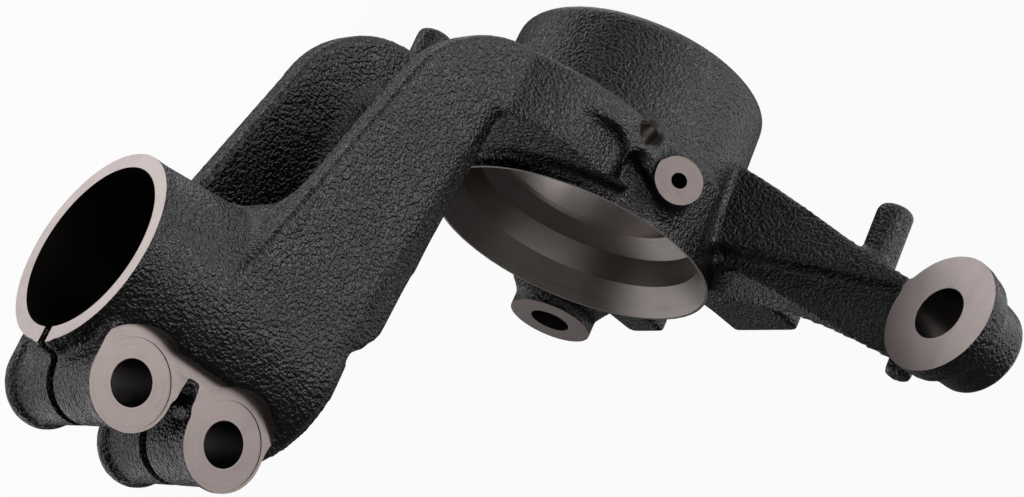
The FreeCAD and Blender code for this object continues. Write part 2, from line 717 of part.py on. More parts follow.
def sensor_pad():
    outward, sensor, screw = sensor_axes()
    inside = HUB_RIM_RADIUS - SENSOR_RADIUS
    return [
        Part.makeCylinder(SENSOR_BOSS_RADIUS, SENSOR_FACE - inside, screw + outward * inside, outward),
        Part.makeCylinder(SENSOR_BOSS_RADIUS, SENSOR_SEAT - inside, sensor + outward * inside, outward),
    ]


def sensor_cuts():
    outward, sensor, screw = sensor_axes()
    screw_end = screw + outward * (SENSOR_FACE - SENSOR_SCREW_DEPTH)
    bore_start = sensor + outward * (LIP_RADIUS - SENSOR_RADIUS)
    return [
        Part.makeCylinder(SENSOR_SCREW_RADIUS, SENSOR_SCREW_DEPTH + PAST, screw_end, outward),
        Part.makeCylinder(SENSOR_RADIUS, SENSOR_FACE, bore_start, outward),
    ]


def build():
    hub = hub_barrel().fuse(steering_arm())
    body = goose_neck().fuse(yoke()).cut(trough()).cut(pocket()).fuse(hub)
    pieces = [
        strut_clamp(),
        eye(),
        fork(),
        peg(PEG_X, PEG_Z, PEG_ROOT, PEG_TIP),
        peg(REAR_PEG_X, REAR_PEG_Z, REAR_PEG_ROOT, REAR_PEG_TIP),
    ]
    for piece in pieces + ears() + caliper_lugs() + sensor_pad():
        body = body.fuse(piece)
    cuts = [hub_bore()] + clamp_cuts() + eye_cuts() + fork_cuts() + sensor_cuts()
    for sign in (-1, 1):
        cuts.append(rod(LUG_HOLE_RADIUS, -PAST, LUG_THICKNESS + PAST, LUG_X, sign * LUG_PITCH / 2))
    for cutter in cuts:
        body = body.cut(cutter)
    body.translate(Vector(0, -SEAT_MIDDLE, 0))
    return body.Solids[0]


os.makedirs("parts", exist_ok=True)
casting = build()
print(casting.ShapeType, casting.isValid(), len(casting.Faces), round(casting.Volume))
casting.exportStep("parts/knuckle_casting.step")
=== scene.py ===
import math

import bmesh
import bpy
import numpy as np
from mathutils import Matrix, Vector


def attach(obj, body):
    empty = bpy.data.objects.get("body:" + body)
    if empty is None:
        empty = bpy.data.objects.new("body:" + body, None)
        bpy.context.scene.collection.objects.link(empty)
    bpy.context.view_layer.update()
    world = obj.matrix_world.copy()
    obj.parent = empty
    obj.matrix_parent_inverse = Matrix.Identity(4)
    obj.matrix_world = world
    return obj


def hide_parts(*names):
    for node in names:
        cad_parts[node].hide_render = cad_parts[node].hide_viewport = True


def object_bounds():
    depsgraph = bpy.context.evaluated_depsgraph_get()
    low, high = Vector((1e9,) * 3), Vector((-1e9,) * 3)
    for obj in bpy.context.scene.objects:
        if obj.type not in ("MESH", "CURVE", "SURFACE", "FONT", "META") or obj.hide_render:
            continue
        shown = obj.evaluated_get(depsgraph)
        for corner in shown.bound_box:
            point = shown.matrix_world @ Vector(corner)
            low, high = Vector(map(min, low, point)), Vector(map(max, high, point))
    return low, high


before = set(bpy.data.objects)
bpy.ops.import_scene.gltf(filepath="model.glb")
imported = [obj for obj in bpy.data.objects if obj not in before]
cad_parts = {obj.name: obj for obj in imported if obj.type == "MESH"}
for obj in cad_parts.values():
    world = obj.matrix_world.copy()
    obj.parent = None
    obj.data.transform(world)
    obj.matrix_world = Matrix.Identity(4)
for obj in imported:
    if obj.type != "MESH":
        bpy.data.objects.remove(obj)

bl_info = {
    "name": "Steering knuckle",
    "version": (1, 0, 0),
    "blender": (4, 5, 0),
    "location": "View3D > Sidebar > Knuckle",
    "description": "Dresses the packed steering knuckle as a painted, machined casting and sets its stage",
    "category": "Object",
}

MM = 0.001
CAD_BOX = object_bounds()
NODE = "knuckle_casting"
PIECE = "cast_knuckle"

# The export thins a piece of 200,000 triangles or more, so this one stays below that
TRIANGLE_LIMIT = 195000

Y_AXIS, Z_AXIS = Vector((0, 1, 0)), Vector((0, 0, 1))

# Sizes in millimetres. The origin is the middle of the bearing seat, the hub's axis is Y, and the
# strut clamp's axis runs along Z. A fill is the bar that closes a hole of the blank before it is machined,
# and PAST is how far a tool runs out of the metal.
PAST = 6

# Hub: the mouth's bands are radii at depths from the inboard face
INBOARD_FACE, OUTBOARD_FACE = -47.9, 22.5
RIM_RADIUS, RIM_ROOT_RADIUS, RIM_LENGTH = 51.2, 48.0, 20
MOUTH_BANDS = ((50.1, 0), (44.2, 9.5), (42.0, 19.1), (40.6, 19.9))
LIP_RADIUS, LIP_LENGTH = 34.2, 1.6
SEAT_RADIUS, SEAT_LENGTH, SEAT_CHAMFER = 40.0, 45.0, 1.2
SEAT_FILL, SEAT_FILL_START = 42.0, 10
GROOVE_RADIUS, GROOVE_DEPTHS = 41.6, (5.8, 3.6)
INBOARD_CUT, OUTBOARD_CUT = 54.0, 50.0

# Strut clamp and its slit, whose runs are offsets from the clamp's axis along Y
CLAMP_X, CLAMP_Y = -1.6, -148.5
CLAMP_TOP, CLAMP_BOTTOM = 164.2, 84.5
CLAMP_RADIUS, CLAMP_BORE, CLAMP_FILL = 33.0, 28.1, 30.0
CLAMP_RING_DEPTH, CLAMP_FILL_FOOT, CLAMP_BORE_FOOT = 20, 3, 16
CLAMP_FACE_CUT = 38
SLIT_HALF = 2
SLIT_RUN, SLIT_TOP = (-60, -20), 3
SLIT_FILL_X, SLIT_FILL_RUN = (-6, 3), (-34, -20)

# Bolt ears on both sides of a gap. The spot face is a shallow disc sunk into the milled face.
EAR_Y = -184.2
EAR_HEIGHTS = (144.2, 106.5)
EAR_FRONT, EAR_REAR = 23.0, -25.0
EAR_FACES = ((EAR_FRONT, 1), (EAR_REAR, -1))
EAR_RADIUS, EAR_WEB, EAR_FACE_DEPTH = 14.8, 8.5, 3
EAR_HOLE_RADIUS, EAR_FILL = 7.25, 9.0
EAR_CUT_RADIUS, EAR_CUT_RUN, EAR_CUT_WEB = 17.3, 24, 15.1
EAR_SPOT_RADIUS, EAR_SPOT_DEPTH, EAR_SPOT_PAST = 13.7, 0.35, 4
EAR_GAP_X, EAR_GAP_RADIUS, EAR_GAP_WEB = (-8, 5), 13.0, 12

# Steering arm's eye with its tapered hole, and the pip under the arm
EYE = Vector((126.0, -45.6, -52.8))
EYE_RADIUS, EYE_FACE_DEPTH, EYE_CUT_RADIUS, EYE_CUT_TOP = 21.5, 4, 22.6, 8
EYE_FILL, EYE_FILL_DEPTH = 12.0, 25
TAPER_TOP_RADIUS, TAPER_FOOT_RADIUS = 9.15, 11.31
TAPER_TOP, TAPER_FOOT = 5, 31
ARM_PIP = Vector((103.0, -56.5, -68.0))
ARM_PIP_RADIUS, ARM_PIP_ROOT, ARM_PIP_TIP = 4.6, 4.5, 6

# Caliper lugs and the fork's threaded holes
LUG_X, LUG_Z = -60.0, 50.7
LUG_RADIUS, LUG_FACE_DEPTH, LUG_CUT_RADIUS, LUG_CUT_TOP = 15.8, 3, 17.6, 5
LUG_HOLE_RADIUS, LUG_HOLE_DEPTH = 7.5, 30
LUG_FILL, LUG_FILL_DEPTH = 9.0, 23.5
FORK_HOLES = ((-46.0, -23.4), (17.0, -23.4))
FORK_BOTTOM = -85.0
FORK_HOLE_RADIUS, FORK_HOLE_RUN = 5.1, (-5, 22)
FORK_FILL, FORK_FILL_RUN = 6.5, (0.5, 24)

# Sensor: a run is two distances from the hub's axis along the pad's outward direction. A hollow is its
# offset round the hub from the screw, its offset along the hub, and its radius.
SENSOR_ANGLE = math.radians(27.5)
SENSOR_BORE = Vector((0, INBOARD_FACE + 25.6, 0))
SENSOR_SCREW = Vector((7.157, -32.6, -13.749))
SENSOR_FACE, SENSOR_FACE_FOOT, SENSOR_FACE_RADIUS, SENSOR_CUT_RADIUS = 57, 50, 8.5, 9.4
SCREW_HOLE_RADIUS, SCREW_HOLE_RUN = 2.8, (44, 64)
SCREW_FILL, SCREW_FILL_RUN = 4.0, (40, 56)
SENSOR_BORE_RADIUS, SENSOR_BORE_RUN = 4.1, (36, 64)
SENSOR_BORE_FILL, SENSOR_BORE_FILL_RUN = 5.5, (38, 55.5)
SENSOR_CHAMFER, SENSOR_CHAMFER_HEIGHTS = 2.0, (54.6, 56.6)
PLATEAU_RADIUS, PLATEAU_FOOT, PLATEAU_DROP = 7.6, 44, 1.5
HOLLOW_RUN = (50.2, 66)
HOLLOWS = ((5.0, -6.0, 10.5), (13.5, -3.5, 6.5))

# Edges stay sharp from these angles, and a fillet eases in over this distance
CUT_EDGE, CAST_EDGE = math.radians(12), math.radians(42)
EASING_MM = 0.6

# The finishes' patterns: the directions, spacings and depths of what a tool leaves
MILLING_ACROSS = (0.97, -0.24, 0.0)
BLOTCH_MM = 25 / 3
DARK_SHARE = 0.78
PATCH_GRAINS = 9.0
PATCH_RELIEF_MM = 0.8

# Stage in metres: a lamp is its name, place, size and watts
LAMP_AIM = Vector((0, -0.08, 0.04))
LAMPS = (
    ("side", Vector((1.20, 0.42, -0.22)), 0.80, 5.0),
    ("back", Vector((-1.15, 0.50, 0.84)), 0.70, 1.5),
)

# The camera stands where the lines and circles of the real casting meet in the picture
CAMERA_PLACE = Vector((0.6957, -0.3919, 0.5236))
CAMERA_RIGHT = Vector((0.6525, 0.3790, -0.6562))
CAMERA_UP = Vector((0.0283, 0.8532, 0.5208))
CAMERA_LENS_MM, CAMERA_SENSOR_MM = 94.87, 36.0
CAMERA_REACH = 20.0
FLOOR_HALF_MM = 6000
FLOOR_GLOW = 0.95

# Grey flags keep the overhead and the front dark in the gloss, as in a studio. Their corners are in
# millimetres.
FLAGS = (
    ("top_flag", "b0b0b0", (-380, -300, 900), (1000, 1200, 910)),
    ("front_flag", "808080", (-450, -710, -850), (1500, -700, 880)),
    ("low_flag", "808080", (-1700, -690, -710), (1500, 60, -700)),
    ("low_left_flag", "808080", (-1700, 70, -710), (-150, 1300, -700)),
    ("left_flag", "808080", (-1510, 0, -690), (-1500, 1300, 620)),
)


def linear(code):
    """An sRGB hex code such as 8a8580 as linear red, green, blue and alpha."""
    values = [int(code[i : i + 2], 16) / 255 for i in (0, 2, 4)]
    return tuple(v / 12.92 if v <= 0.04045 else ((v + 0.055) / 1.055) ** 2.4 for v in values) + (1.0,)


# Pieces of mesh, each added to a bmesh by operators


def disc_bar(bm, radius, start, end, segments=96, end_radius=None):
    """A closed round bar or cone from start to end, in millimetres."""
    start, end = Vector(start), Vector(end)
    run = end - start
    place = Matrix.Translation((start + end) / 2) @ run.to_track_quat("Z", "Y").to_matrix().to_4x4()
    bmesh.ops.create_cone(
        bm,
        cap_ends=True,
        cap_tris=False,
        segments=segments,
        radius1=radius,
        radius2=radius if end_radius is None else end_radius,
        depth=run.length,
        matrix=place,
    )


def block(bm, low, high):
    """A closed box between two corners, in millimetres."""
    low, high = Vector(low), Vector(high)
    size = high - low
    place = Matrix.Translation((low + high) / 2) @ Matrix.Diagonal((*size, 1.0))
    bmesh.ops.create_cube(bm, size=1.0, matrix=place)


def turned(bm, profile, segments=160):
    """Spins an open (radius, y) profile, whose ends lie on the hub's axis, about that axis."""
    verts = [bm.verts.new((radius, y, 0)) for radius, y in profile]
    edges = [bm.edges.new(pair) for pair in zip(verts, verts[1:])]
    bmesh.ops.spin(
        bm,
        geom=verts + edges,
        cent=(0, 0, 0),
        axis=Y_AXIS,
        angle=math.tau,
        steps=segments,
        use_merge=True,
    )
    bmesh.ops.remove_doubles(bm, verts=bm.verts, dist=1e-4)
    bmesh.ops.recalc_face_normals(bm, faces=bm.faces)


def scaled(bm, factor):
    """Scales a bmesh about the origin, to turn metres into millimetres and back."""
    bmesh.ops.scale(bm, verts=bm.verts, vec=(factor, factor, factor))


def new_object(name, bm, materials=()):
    """A mesh object from a bmesh drawn in millimetres, with its place in its mesh."""
    scaled(bm, MM)
    mesh = bpy.data.meshes.new(name)
    bm.to_mesh(mesh)
    bm.free()
    for material in materials:
        mesh.materials.append(material)
    piece = bpy.data.objects.new(name, mesh)
    bpy.context.scene.collection.objects.link(piece)
    return piece


def finished(piece):
    """Applies a piece's modifiers to its mesh."""
    graph = bpy.context.evaluated_depsgraph_get()
    mesh = bpy.data.meshes.new_from_object(piece.evaluated_get(graph))
    old = piece.data
    piece.modifiers.clear()
    piece.data = mesh
    bpy.data.meshes.remove(old)


def triangle_count(mesh):
    return sum(len(face.vertices) - 2 for face in mesh.polygons)


# Materials


def add(tree, kind, sockets=(), **settings):
    """Adds a node, sets its properties and sockets by name, then links or sets each (socket, value) pair."""
    node = tree.nodes.new(kind)
    for key, value in settings.items():
        if hasattr(node, key) and key not in node.inputs:
            setattr(node, key, value)
        else:
            node.inputs[key].default_value = value
    for socket, value in sockets:
        if isinstance(value, bpy.types.NodeSocket):
            tree.links.new(value, node.inputs[socket])
        else:
            node.inputs[socket].default_value = value
    return node


def blank_material(name):
    """A material with nothing but its output."""
    material = bpy.data.materials.new(name)
    material.use_nodes = True
    tree = material.node_tree
    tree.nodes.clear()
    output = tree.nodes.new("ShaderNodeOutputMaterial")
    return material, tree, output


def tinted(tree, source, span, dark, light):
    """A colour that runs from dark to light while the source runs over the span."""
    ramp = add(tree, "ShaderNodeValToRGB", [("Fac", source)])
    for element, position, colour in zip(ramp.color_ramp.elements, span, (dark, light)):
        element.position = position
        element.color = colour
    return ramp.outputs["Color"]


def painted_cast_iron(look):
    """Sand-cast ductile iron under black enamel: pebbles with dark pits between them, and a soft gloss."""
    material, tree, output = blank_material("painted_cast_iron")
    place = add(tree, "ShaderNodeTexCoord").outputs["Object"]
    grain = 1.0 / (look.grain_mm * MM)
    pebble = add(
        tree,
        "ShaderNodeTexNoise",
        [("Vector", place)],
        Scale=grain,
        Detail=1.0,
        Roughness=0.5,
        Distortion=0.2,
    )
    crest = add(
        tree,
        "ShaderNodeMapRange",
        [("Value", pebble.outputs["Fac"]), ("From Min", 0.28), ("From Max", 0.76)],
        interpolation_type="SMOOTHSTEP",
    )
    patch = add(tree, "ShaderNodeTexNoise", [("Vector", place)], Scale=grain / PATCH_GRAINS, Detail=2.0)
    height = add(
        tree,
        "ShaderNodeBump",
        [("Height", crest.outputs["Result"])],
        Strength=1.0,
        Distance=look.relief_mm * MM,
    )
    wave = add(
        tree,
        "ShaderNodeBump",
        [("Height", patch.outputs["Fac"]), ("Normal", height.outputs["Normal"])],
        Strength=0.5,
        Distance=PATCH_RELIEF_MM * MM,
    )
    rough = add(
        tree,
        "ShaderNodeMapRange",
        [("Value", patch.outputs["Fac"])],
        **{"From Min": 0.3, "From Max": 0.7, "To Min": look.gloss - 0.05, "To Max": look.gloss + 0.07},
    )
    tint = tinted(tree, patch.outputs["Fac"], (0.3, 0.75), linear(look.paint), linear(look.paint_light))
    shader = add(
        tree,
        "ShaderNodeBsdfPrincipled",
        [("Base Color", tint), ("Roughness", rough.outputs["Result"]), ("Normal", wave.outputs["Normal"])],
        IOR=1.5,
    )
    tree.links.new(shader.outputs["BSDF"], output.inputs["Surface"])
    return material


def machined_iron(name, colour, marks, roughness, spacing_mm, relief_mm):
    """Bare cut iron with the tool's streaks, drawn coarser than real feed marks so that they show."""
    material, tree, output = blank_material(name)
    place = add(tree, "ShaderNodeTexCoord").outputs["Object"]
    across = marks(tree, place)
    line = 1.0 / (spacing_mm * MM)
    streak = add(tree, "ShaderNodeTexNoise", [("W", across)], noise_dimensions="1D", Scale=line, Detail=3.0)
    bump = add(
        tree,
        "ShaderNodeBump",
        [("Height", streak.outputs["Fac"])],
        Strength=1.0,
        Distance=relief_mm * MM,
    )
    blotch = add(tree, "ShaderNodeTexNoise", [("Vector", place)], Scale=1 / (BLOTCH_MM * MM), Detail=4.0)
    tone = add(
        tree,
        "ShaderNodeMath",
        [(0, streak.outputs["Fac"]), (1, blotch.outputs["Fac"])],
        operation="ADD",
    )
    light = linear(colour)
    dark = (*(DARK_SHARE * value for value in light[:3]), 1.0)
    shader = add(
        tree,
        "ShaderNodeBsdfPrincipled",
        [
            ("Base Color", tinted(tree, tone.outputs["Value"], (0.55, 1.0), dark, light)),
            ("Normal", bump.outputs["Normal"]),
        ],
        Metallic=1.0,
        Roughness=roughness,
    )
    tree.links.new(shader.outputs["BSDF"], output.inputs["Surface"])
    return material


def round_the_bolt(tree, place):
    """Distance from the nearer pinch bolt's axis, for the rings that a spot facer leaves."""
    axes = add(tree, "ShaderNodeSeparateXYZ", [("Vector", place)]).outputs
    middle = sum(EAR_HEIGHTS) / 2 * MM
    half = (EAR_HEIGHTS[0] - EAR_HEIGHTS[1]) / 2 * MM
    off = add(tree, "ShaderNodeMath", [(0, axes["Z"]), (1, middle)], operation="SUBTRACT")
    away = add(tree, "ShaderNodeMath", [(0, off.outputs[0])], operation="ABSOLUTE")
    z = add(tree, "ShaderNodeMath", [(0, away.outputs[0]), (1, half)], operation="SUBTRACT")
    y = add(tree, "ShaderNodeMath", [(0, axes["Y"]), (1, EAR_Y * MM)], operation="SUBTRACT")
    flat = add(tree, "ShaderNodeCombineXYZ", [("X", y.outputs[0]), ("Y", z.outputs[0])])
    return add(tree, "ShaderNodeVectorMath", [(0, flat.outputs[0])], operation="LENGTH").outputs["Value"]


def round_the_hub(tree, place):
    """Position along the hub's axis and away from it, for turning marks."""
    axes = add(tree, "ShaderNodeSeparateXYZ", [("Vector", place)]).outputs
    flat = add(tree, "ShaderNodeCombineXYZ", [("X", axes["X"]), ("Y", axes["Z"])])
    away = add(tree, "ShaderNodeVectorMath", [(0, flat.outputs[0])], operation="LENGTH")
    both = add(tree, "ShaderNodeMath", [(0, away.outputs["Value"]), (1, axes["Y"])], operation="ADD")
    return both.outputs["Value"]


def across_the_strokes(tree, place):
    """Distance across the straight strokes of a face mill."""
    stroke = add(tree, "ShaderNodeVectorMath", [(0, place), (1, MILLING_ACROSS)], operation="DOT_PRODUCT")
    return stroke.outputs["Value"]


def shown_rays(tree):
    """One for rays that see the background: the camera's, and those that gloss or glass sends on."""
    rays = add(tree, "ShaderNodeLightPath").outputs
    seen = rays["Is Camera Ray"]
    for kind in ("Is Glossy Ray", "Is Transmission Ray"):
        seen = add(tree, "ShaderNodeMath", [(0, seen), (1, rays[kind])], operation="MAXIMUM").outputs[0]
    return seen


def floor_material(colour):
    """Pale seamless card: the camera sees it near white, and it still takes a soft shadow."""
    material, tree, output = blank_material("pale_card")
    card = add(tree, "ShaderNodeBsdfDiffuse", Color=linear(colour))
    glow = add(tree, "ShaderNodeEmission", Color=(1, 1, 1, 1), Strength=1.0)
    seen = add(tree, "ShaderNodeMath", [(0, shown_rays(tree)), (1, FLOOR_GLOW)], operation="MULTIPLY")
    both = add(
        tree,
        "ShaderNodeMixShader",
        [(0, seen.outputs[0]), (1, card.outputs[0]), (2, glow.outputs[0])],
    )
    tree.links.new(both.outputs[0], output.inputs["Surface"])
    return material


def flag_material(name, grey):
    """Matt grey card."""
    material, tree, output = blank_material(name)
    matt = add(tree, "ShaderNodeBsdfDiffuse", Color=linear(grey))
    tree.links.new(matt.outputs[0], output.inputs["Surface"])
    return material


# Sizes and looks that a user would change


class KnucklePaint(bpy.types.PropertyGroup):
    grain_mm: bpy.props.FloatProperty(
        name="Grain",
        description="Spacing of the cast skin's pebbles, in millimetres",
        default=1.15,
        min=0.3,
        max=5,
    )
    relief_mm: bpy.props.FloatProperty(
        name="Relief",
        description="Height of the cast skin's pebbles, in millimetres",
        default=0.34,
        min=0,
        max=2,
    )
    gloss: bpy.props.FloatProperty(
        name="Roughness",
        description="Mean roughness of the enamel",
        default=0.23,
        min=0.1,
        max=1,
        subtype="FACTOR",
    )
    paint: bpy.props.StringProperty(
        name="Paint", description="Darker tone of the enamel, sRGB hex", default="0d0d0d"
    )
    paint_light: bpy.props.StringProperty(
        name="Paint, light", description="Lighter tone of the enamel, sRGB hex", default="161616"
    )


class KnuckleMachining(bpy.types.PropertyGroup):
    stock_mm: bpy.props.FloatProperty(
        name="Stock",
        description="Metal left on the blank for machining, in millimetres",
        default=1.6,
        min=0.5,
        max=3,
    )
    milled: bpy.props.StringProperty(
        name="Milled face", description="Iron under a face mill's strokes, sRGB hex", default="a59a98"
    )
    faced: bpy.props.StringProperty(
        name="Spot-faced ear", description="Iron under a spot facer's rings, sRGB hex", default="7e7472"
    )
    bored: bpy.props.StringProperty(
        name="Bored wall", description="Iron with turning marks, sRGB hex", default="8d8682"
    )
    # A darker copy of the bored iron for the holes and the clamp's bore: painted shade, where little light
    # reaches inside them.
    hole_painted_shade: bpy.props.StringProperty(
        name="Hole iron, painted shade", description="Iron inside the deep holes, sRGB hex", default="403b39"
    )


class KnuckleSkin(bpy.types.PropertyGroup):
    voxel_mm: bpy.props.FloatProperty(
        name="Cell",
        description="Cell size of the cast skin's mesh, in millimetres",
        default=1.2,
        min=0.8,
        max=5,
    )
    passes: bpy.props.IntProperty(
        name="Rounding",
        description="Smoothing passes that round the cast edges",
        default=3,
        min=0,
        max=60,
    )
    fillet_passes: bpy.props.IntProperty(
        name="Fillets",
        description="Smoothing passes that fill the inner corners",
        default=12,
        min=0,
        max=200,
    )
    triangles: bpy.props.IntProperty(
        name="Triangles",
        description="Triangles left in the cast skin",
        default=170000,
        min=20000,
        max=190000,
    )


class KnuckleStage(bpy.types.PropertyGroup):
    drop: bpy.props.FloatProperty(
        name="Floor drop",
        description="How far the floor lies below the casting",
        default=0.8,
        unit="LENGTH",
    )
    card: bpy.props.StringProperty(
        name="Floor", description="Colour of the floor's card, sRGB hex", default="fafafa"
    )
    room: bpy.props.FloatProperty(
        name="Room", description="Strength of the light from all round", default=0.45
    )


# Points on the casting's own axes


def on_hub(y):
    return (0, y, 0)


def on_clamp(z):
    return (CLAMP_X, CLAMP_Y, z)


def by_clamp(x, y, z):
    """A point given by its offset from the clamp's axis, at a height."""
    return (CLAMP_X + x, CLAMP_Y + y, z)


def on_sensor(base, start, end):
    """Two points on the sensor pad's outward direction, at distances from the hub's axis."""
    outward = Vector((math.cos(SENSOR_ANGLE), 0, math.sin(SENSOR_ANGLE)))
    return base + outward * start, base + outward * end


# The casting


def sensor_relief():
    """Steps that set the sensor's plateau off from the yoke: two hollows, and a raised strip to its bore."""
    around = Vector((-math.sin(SENSOR_ANGLE), 0, math.cos(SENSOR_ANGLE)))
    steps = []
    for turn, along, radius in HOLLOWS:
        middle = SENSOR_SCREW + around * turn + Y_AXIS * along
        bm = bmesh.new()
        disc_bar(bm, radius, *on_sensor(middle, *HOLLOW_RUN))
        steps.append(("DIFFERENCE", bm))
    for share in (0.0, 0.33, 0.66, 1.0):
        top = SENSOR_FACE - PLATEAU_DROP * (share > 0)
        bm = bmesh.new()
        disc_bar(bm, PLATEAU_RADIUS, *on_sensor(SENSOR_SCREW.lerp(SENSOR_BORE, share), PLATEAU_FOOT, top))
        steps.append(("UNION", bm))
    return steps


def stock(bm, extra):
    """Metal that closes each machined hole of the blank and stands proud of each machined face."""
    rim = on_hub(INBOARD_FACE - extra), on_hub(INBOARD_FACE + RIM_LENGTH)
    disc_bar(bm, RIM_RADIUS, *rim, end_radius=RIM_ROOT_RADIUS)
    disc_bar(bm, SEAT_FILL, on_hub(INBOARD_FACE + SEAT_FILL_START), on_hub(OUTBOARD_FACE + extra))
    disc_bar(bm, CLAMP_RADIUS, on_clamp(CLAMP_TOP - CLAMP_RING_DEPTH), on_clamp(CLAMP_TOP + extra))
    disc_bar(bm, CLAMP_FILL, on_clamp(CLAMP_BOTTOM - CLAMP_FILL_FOOT), on_clamp(CLAMP_TOP))
    block(
        bm,
        (SLIT_FILL_X[0], CLAMP_Y + SLIT_FILL_RUN[0], CLAMP_BOTTOM + 1),
        (SLIT_FILL_X[1], CLAMP_Y + SLIT_FILL_RUN[1], CLAMP_TOP - 1),
    )
    left, right = EAR_GAP_X
    for z in EAR_HEIGHTS:
        disc_bar(bm, EAR_GAP_RADIUS, (left, EAR_Y, z), (right, EAR_Y, z))
        disc_bar(bm, EAR_FILL, (EAR_REAR, EAR_Y, z), (EAR_FRONT, EAR_Y, z))
        block(
            bm,
            (left, EAR_Y, z - EAR_GAP_RADIUS),
            (right, EAR_Y + EAR_GAP_WEB, z + EAR_GAP_RADIUS),
        )
        for face, out in EAR_FACES:
            low, high = sorted((face - EAR_FACE_DEPTH * out, face + extra * out))
            disc_bar(bm, EAR_RADIUS, (low, EAR_Y, z), (high, EAR_Y, z))
            block(bm, (low, EAR_Y, z - EAR_RADIUS), (high, EAR_Y + EAR_WEB, z + EAR_RADIUS))
    disc_bar(bm, EYE_FILL, EYE - Z_AXIS * EYE_FILL_DEPTH, EYE)
    disc_bar(bm, EYE_RADIUS, EYE - Z_AXIS * EYE_FACE_DEPTH, EYE + Z_AXIS * extra)
    for z in (-LUG_Z, LUG_Z):
        disc_bar(bm, LUG_FILL, (LUG_X, INBOARD_FACE, z), (LUG_X, INBOARD_FACE + LUG_FILL_DEPTH, z))
        disc_bar(bm, LUG_RADIUS, (LUG_X, INBOARD_FACE - extra, z), (LUG_X, INBOARD_FACE + LUG_FACE_DEPTH, z))
    disc_bar(bm, ARM_PIP_RADIUS, ARM_PIP - Y_AXIS * ARM_PIP_ROOT, ARM_PIP + Y_AXIS * ARM_PIP_TIP)
    for x, y in FORK_HOLES:
        disc_bar(bm, FORK_FILL, *[(x, y, FORK_BOTTOM + depth) for depth in FORK_FILL_RUN])
    disc_bar(bm, SCREW_FILL, *on_sensor(SENSOR_SCREW, *SCREW_FILL_RUN))
    disc_bar(bm, SENSOR_FACE_RADIUS, *on_sensor(SENSOR_SCREW, SENSOR_FACE_FOOT, SENSOR_FACE + extra))
    disc_bar(bm, SENSOR_BORE_FILL, *on_sensor(SENSOR_BORE, *SENSOR_BORE_FILL_RUN))


def hub_profile():
    """The boring tool's path as (radius, y), from beyond the inboard face to beyond the outboard one."""
    inboard, outboard = INBOARD_FACE, OUTBOARD_FACE
    seat = outboard - SEAT_LENGTH
    deep, shallow = GROOVE_DEPTHS
    return [
        (0, inboard - PAST),
        (INBOARD_CUT, inboard - PAST),
        (INBOARD_CUT, inboard),
        *((radius, inboard + depth) for radius, depth in MOUTH_BANDS),
        (LIP_RADIUS, seat - LIP_LENGTH),
        (LIP_RADIUS, seat),
        (SEAT_RADIUS, seat),
        (SEAT_RADIUS, outboard - deep),
        (GROOVE_RADIUS, outboard - deep),
        (GROOVE_RADIUS, outboard - shallow),
        (SEAT_RADIUS, outboard - shallow),
        (SEAT_RADIUS, outboard - SEAT_CHAMFER),
        (SEAT_RADIUS + SEAT_CHAMFER, outboard),
        (OUTBOARD_CUT, outboard),
        (OUTBOARD_CUT, outboard + PAST),
        (0, outboard + PAST),
    ]


